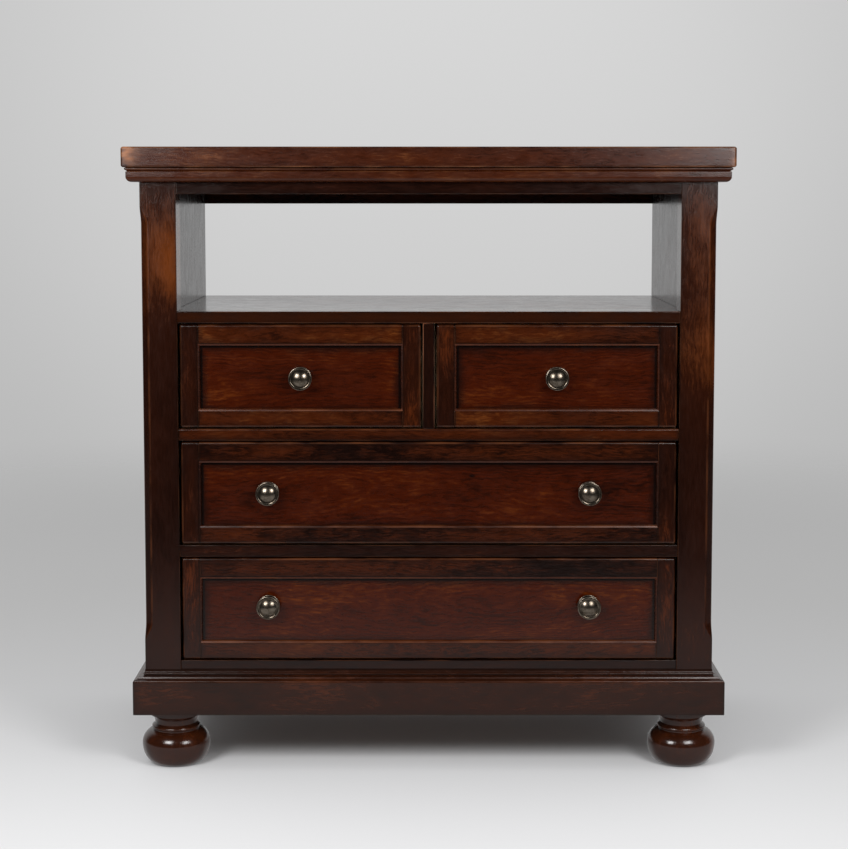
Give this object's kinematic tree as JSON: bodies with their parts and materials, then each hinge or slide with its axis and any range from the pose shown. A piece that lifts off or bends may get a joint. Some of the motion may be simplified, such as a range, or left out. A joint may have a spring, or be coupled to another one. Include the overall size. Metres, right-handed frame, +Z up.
{
  "type": "media chest",
  "caption": "Wooden media chest with an open equipment niche over framed drawers, chamfered corner posts, moulded top and plinth, round metal knobs and turned bun feet.",
  "frame": {"origin": "centre of the footprint box at floor level", "axes": "+Z up, -Y out of the drawer fronts, +X to the right of someone facing the front"},
  "size_m": [1.067, 0.5328, 1.1078],
  "materials": {
    "cherry_lacquer": "glossy lacquered cherry, reddish brown",
    "dark_cherry": "glossy lacquered cherry, dark brown",
    "drawer_wood": "pale sanded hardwood and plywood, satin",
    "pewter": "antique pewter, soft polish"
  },
  "bodies": {
    "case": {"top_slab": "cherry_lacquer", "top_moulding_front": "cherry_lacquer", "top_moulding_left": "cherry_lacquer", "top_moulding_right": "cherry_lacquer", "front_post_left": "cherry_lacquer", "front_post_right": "cherry_lacquer", "back_post_left": "cherry_lacquer", "back_post_right": "cherry_lacquer", "side_rail_upper_left": "cherry_lacquer", "side_rail_upper_right": "cherry_lacquer", "side_rail_lower_left": "cherry_lacquer", "side_rail_lower_right": "cherry_lacquer", "side_panel_left": "cherry_lacquer", "side_panel_right": "cherry_lacquer", "upper_front_rail": "dark_cherry", "upper_back_rail": "dark_cherry", "niche_liner_left": "dark_cherry", "niche_liner_right": "dark_cherry", "niche_shelf": "dark_cherry", "drawer_rail_upper": "cherry_lacquer", "drawer_rail_lower": "cherry_lacquer", "bottom_rail": "cherry_lacquer", "centre_stile": "dark_cherry", "centre_partition": "drawer_wood", "dust_frame_upper": "drawer_wood", "dust_frame_lower": "drawer_wood", "dust_frame_bottom": "drawer_wood", "drawer_guide_left": "drawer_wood", "drawer_guide_right": "drawer_wood", "back_panel": "drawer_wood", "plinth_front": "cherry_lacquer", "plinth_left": "cherry_lacquer", "plinth_right": "cherry_lacquer", "plinth_back": "dark_cherry", "foot_front_left": "cherry_lacquer", "foot_front_right": "cherry_lacquer", "foot_back_left": "cherry_lacquer", "foot_back_right": "cherry_lacquer"},
    "top_left_drawer": {"top_left_drawer_front": "cherry_lacquer", "top_left_drawer_panel": "cherry_lacquer", "top_left_drawer_box": "drawer_wood", "top_left_drawer_bottom": "drawer_wood", "knob_top_left": "pewter"},
    "top_right_drawer": {"top_right_drawer_front": "cherry_lacquer", "top_right_drawer_panel": "cherry_lacquer", "top_right_drawer_box": "drawer_wood", "top_right_drawer_bottom": "drawer_wood", "knob_top_right": "pewter"},
    "middle_drawer": {"middle_drawer_front": "cherry_lacquer", "middle_drawer_panel": "cherry_lacquer", "middle_drawer_box": "drawer_wood", "middle_drawer_bottom": "drawer_wood", "knob_middle_left": "pewter", "knob_middle_right": "pewter"},
    "bottom_drawer": {"bottom_drawer_front": "cherry_lacquer", "bottom_drawer_panel": "cherry_lacquer", "bottom_drawer_box": "drawer_wood", "bottom_drawer_bottom": "drawer_wood", "knob_bottom_left": "pewter", "knob_bottom_right": "pewter"}
  },
  "joints": [
    {"name": "top_left_drawer_slide", "type": "slide", "parent": "case", "child": "top_left_drawer", "axis": [0, -1, 0], "range_m": [0, 0.32]},
    {"name": "top_right_drawer_slide", "type": "slide", "parent": "case", "child": "top_right_drawer", "axis": [0, -1, 0], "range_m": [0, 0.32]},
    {"name": "middle_drawer_slide", "type": "slide", "parent": "case", "child": "middle_drawer", "axis": [0, -1, 0], "range_m": [0, 0.32]},
    {"name": "bottom_drawer_slide", "type": "slide", "parent": "case", "child": "bottom_drawer", "axis": [0, -1, 0], "range_m": [0, 0.32]}
  ]
}
